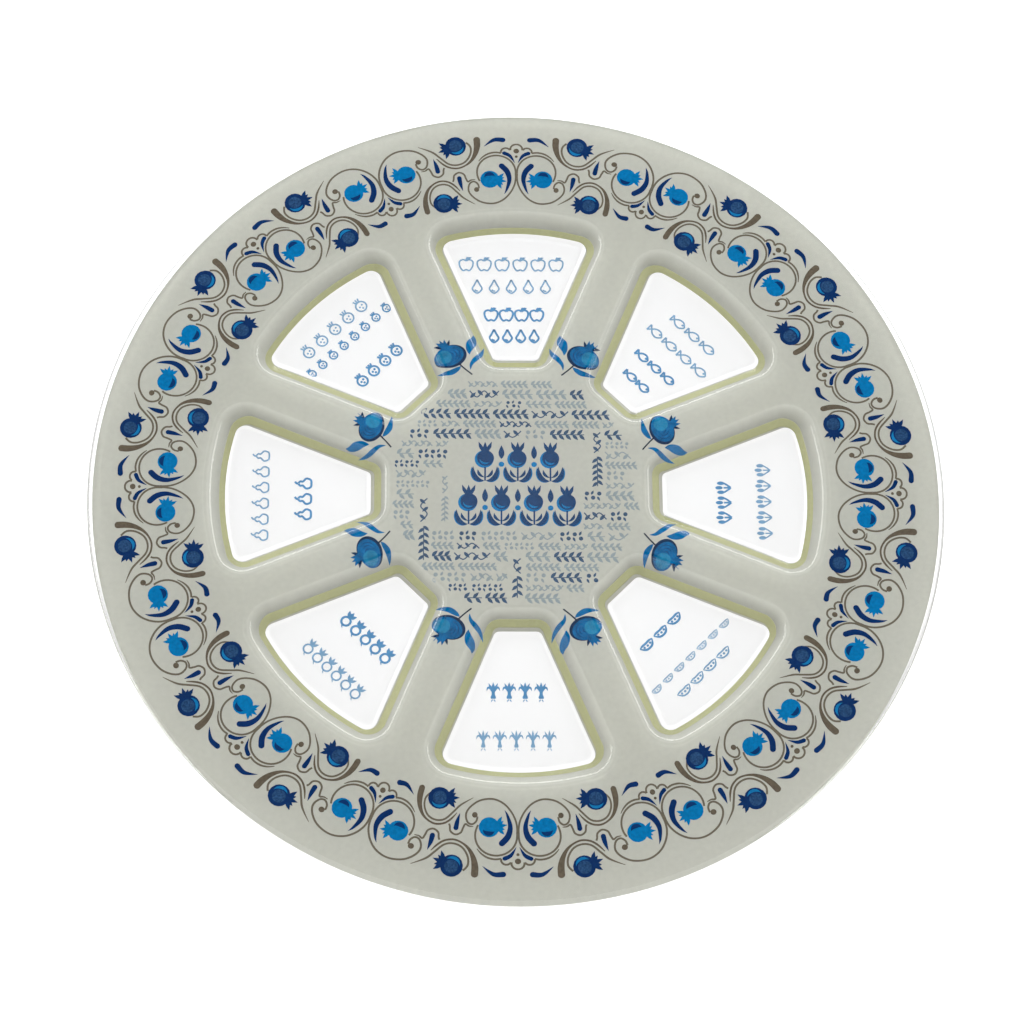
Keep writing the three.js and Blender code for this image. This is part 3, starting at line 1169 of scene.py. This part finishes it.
def floor_material():
    low, middle, high = [(grey, grey, grey) for grey in FLOOR_GREYS]
    material, shader = new_material("floor", middle, FLOOR_ROUGHNESS)
    tree = material.node_tree
    paint = mottle(material, shader, low, high, **FLOOR_MOTTLE)
    place = add_node(tree, "ShaderNodeTexCoord")
    distance = add_node(tree, "ShaderNodeVectorMath", operation="LENGTH")
    share = add_node(tree, "ShaderNodeMath", operation="DIVIDE")
    share.inputs[1].default_value = FLOOR_REACH * MM
    tree.links.new(place.outputs["Object"], distance.inputs[0])
    tree.links.new(distance.outputs["Value"], share.inputs[0])

    def ring_ramp(stops):
        shares = [(radius / FLOOR_REACH, value) for radius, value in stops]
        return grey_ramp(tree, share.outputs["Value"], shares)

    # Painted light and shade: the floor's glow and tone follow rings round the plate's centre
    shader.inputs["Emission Color"].default_value = (1, 1, 1, 1)
    tree.links.new(ring_ramp(FLOOR_PAINTED_GLOW), shader.inputs["Emission Strength"])
    tree.links.new(mix(tree, "MULTIPLY", paint, ring_ramp(FLOOR_PAINTED_SHADE)), shader.inputs["Base Color"])
    return material


def make_floor():
    half = FLOOR_HALF_SIZE
    corners = [(x * half, y * half, -FLOOR_DROP) for x, y in ((-1, -1), (1, -1), (1, 1), (-1, 1))]
    add_mesh("floor", corners, [(0, 1, 2, 3)], floor_material())


# Studio. Stops are the cosine of the angle from a direction, and the brightness there.

WORLD_STRENGTH = 1.64
BRIGHT_SIDE = (0, 0.8, 0.6)
BRIGHT_SIDE_STOPS = ((0, 0.75), (0.9, 1))
MIRRORED_BY_HUB = (0.03, 0.375, 0.926)
DARK_PATCH_STOPS = ((0.9, 1), (0.96, 0.06), (0.9975, 0.06), (0.9995, 0.5))
ARCH_STOPS = ((0.588, 0), (0.62, 1), (0.72, 1), (0.743, 0))
BEHIND = (0, 1, 0)
ARCH_STRENGTH_STOPS = ((0.1, 0), (0.26, 3.0))


def make_world():
    """A bright studio, with a strip light arching round behind.

    It is dark where the level sheet mirrors it, but for a soft lamp that the hub mirrors.
    """
    world = bpy.data.worlds.new("studio")
    bpy.context.scene.world = world
    world.use_nodes = True
    tree = world.node_tree
    place = add_node(tree, "ShaderNodeTexCoord")

    def toward(direction):
        dot = add_node(tree, "ShaderNodeVectorMath", operation="DOT_PRODUCT")
        dot.inputs[1].default_value = direction
        tree.links.new(place.outputs["Generated"], dot.inputs[0])
        return dot.outputs["Value"]

    from_hub = toward(MIRRORED_BY_HUB)
    sky = grey_ramp(tree, toward(BRIGHT_SIDE), BRIGHT_SIDE_STOPS)
    patch = grey_ramp(tree, from_hub, DARK_PATCH_STOPS)
    arch = grey_ramp(tree, from_hub, ARCH_STOPS)
    behind = grey_ramp(tree, toward(BEHIND), ARCH_STRENGTH_STOPS)
    light = mix(tree, "ADD", mix(tree, "MULTIPLY", sky, patch), mix(tree, "MULTIPLY", arch, behind))
    background = tree.nodes["Background"]
    tree.links.new(light, background.inputs["Color"])
    background.inputs["Strength"].default_value = WORLD_STRENGTH


# Softbox above the far side, kept out of the reflections

SOFTBOX_PLACE = (0.0, 0.62, 0.5)
SOFTBOX_SIZE = (0.9, 0.12)
SOFTBOX_POWER = 2.0
SOFTBOX_COLOUR = (0.93, 1.0, 1.08)


def make_softbox():
    data = bpy.data.lights.new("back_softbox", "AREA")
    data.shape = "RECTANGLE"
    data.size, data.size_y = SOFTBOX_SIZE
    data.energy = SOFTBOX_POWER
    data.color = SOFTBOX_COLOUR
    lamp = add_piece("back_softbox", data)
    lamp.location = SOFTBOX_PLACE
    lamp.visible_glossy = False
    lamp.rotation_euler = (-Vector(SOFTBOX_PLACE)).to_track_quat("-Z", "Y").to_euler()


# Camera, as fitted to the photograph

CAMERA_ELEVATION = radians(67.93)
CAMERA_AZIMUTH = radians(-4.44)
CAMERA_ROLL = radians(4.31)
CAMERA_DISTANCE = 1.2916
CAMERA_TARGET = Vector((-1.91 * MM, -6.46 * MM, -1 * MM))
CAMERA_LENS = 110.65
CAMERA_SENSOR = 36


def make_camera():
    level = cos(CAMERA_ELEVATION)
    back = Vector((sin(CAMERA_AZIMUTH) * level, -cos(CAMERA_AZIMUTH) * level, sin(CAMERA_ELEVATION)))
    right = (-back).cross(Vector((0, 0, 1))).normalized()
    up = right.cross(-back)
    roll_x = cos(CAMERA_ROLL)
    roll_y = sin(CAMERA_ROLL)
    axes = Matrix((roll_x * right + roll_y * up, -roll_y * right + roll_x * up, back)).transposed()
    data = bpy.data.cameras.new("camera")
    data.lens = CAMERA_LENS
    data.sensor_width = CAMERA_SENSOR
    camera = add_piece("camera", data)
    camera.matrix_world = Matrix.Translation(CAMERA_TARGET + CAMERA_DISTANCE * back) @ axes.to_4x4()
    bpy.context.scene.camera = camera


# Scene

make_camera()
make_floor()
make_world()
make_softbox()
bpy.context.scene.view_settings.view_transform = "Standard"

glass = make_glass(glass_material())
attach(glass, "root")
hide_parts("glass_plate")

coat = make_coat(enamel("silver_enamel", *SILVER_ENAMEL))
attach(coat, "root")
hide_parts("silver_coat")

olive = enamel("olive_enamel", *OLIVE_ENAMEL)
# Each well's strip inside its border is painted shade, for the shadowed floor seen through the clear glass
shade_strip_paint = enamel("painted_shade_enamel", *SHADE_STRIP_ENAMEL)
for well in range(WELL_COUNT):
    border = make_border(well, olive)
    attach(border, "root")
    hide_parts(f"window_border_{well + 1}")
    shade_strip = make_shade_strip(well, shade_strip_paint)
    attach(shade_strip, "root")

# Inks by slot: piece, level in the glass, colour as displayed, how much it drifts, and how finely
INKS = {
    "taupe_ink": (
        ("band_scrolls", 0, (112, 104, 90), 0.08, 900),
        ("band_clubs", 1, (104, 94, 80), 0.16, 700),
    ),
    "blue_ink": (
        ("band_drops", 1, (10, 48, 102), 0.12, 700),
        ("band_fruits_dark", 2, (14, 50, 100), 0.15, 700),
        ("band_fruits_bright", 2, (2, 120, 182), 0.16, 700),
        ("band_fruit_shadow", 3, (10, 56, 108), 0.1, 700),
        ("band_fruit_middles", 3, (40, 74, 116), 0.45, 1500),
        ("band_fruit_glow", 4, (24, 124, 186), 0.1, 700),
        ("sprig_shades", 0, (12, 46, 80), 0.2, 500),
        ("sprig_stems", 0, (30, 42, 60), 0.1, 500),
        ("sprig_bodies", 1, (6, 98, 154), 0.32, 420),
        ("sprig_leaves", 1, (0, 104, 162), 0.2, 500),
        ("sprig_strokes", 3, (6, 74, 124), 0.1, 500),
        ("sprig_lights", 2, (34, 126, 168), 0.25, 420),
        ("hub_leaves_grey", 0, (153, 164, 168), 0.08, 500),
        ("hub_leaves_dark", 0, (66, 90, 120), 0.12, 500),
        ("garland_bright", 0, (16, 122, 184), 0.12, 500),
        ("garland_dark", 1, (28, 68, 114), 0.15, 500),
    ),
    "label_ink": (
        ("well_drawings_pale", 0, (132, 172, 206), 0.06, 500),
        ("well_drawings_bold", 0, (92, 150, 198), 0.06, 500),
    ),
}
prints = {
    name: Print(name, level, enamel(name, [linear(value) for value in colour], drift, scale), slot)
    for slot, inks in INKS.items()
    for name, level, colour, drift, scale in inks
}
rim_band(prints)
sprigs(prints)
hub_field(prints, random.Random(HUB_SEED))
hub_columns(prints)
garland(prints)
well_foods(prints)
for layer in prints.values():
    layer.build()
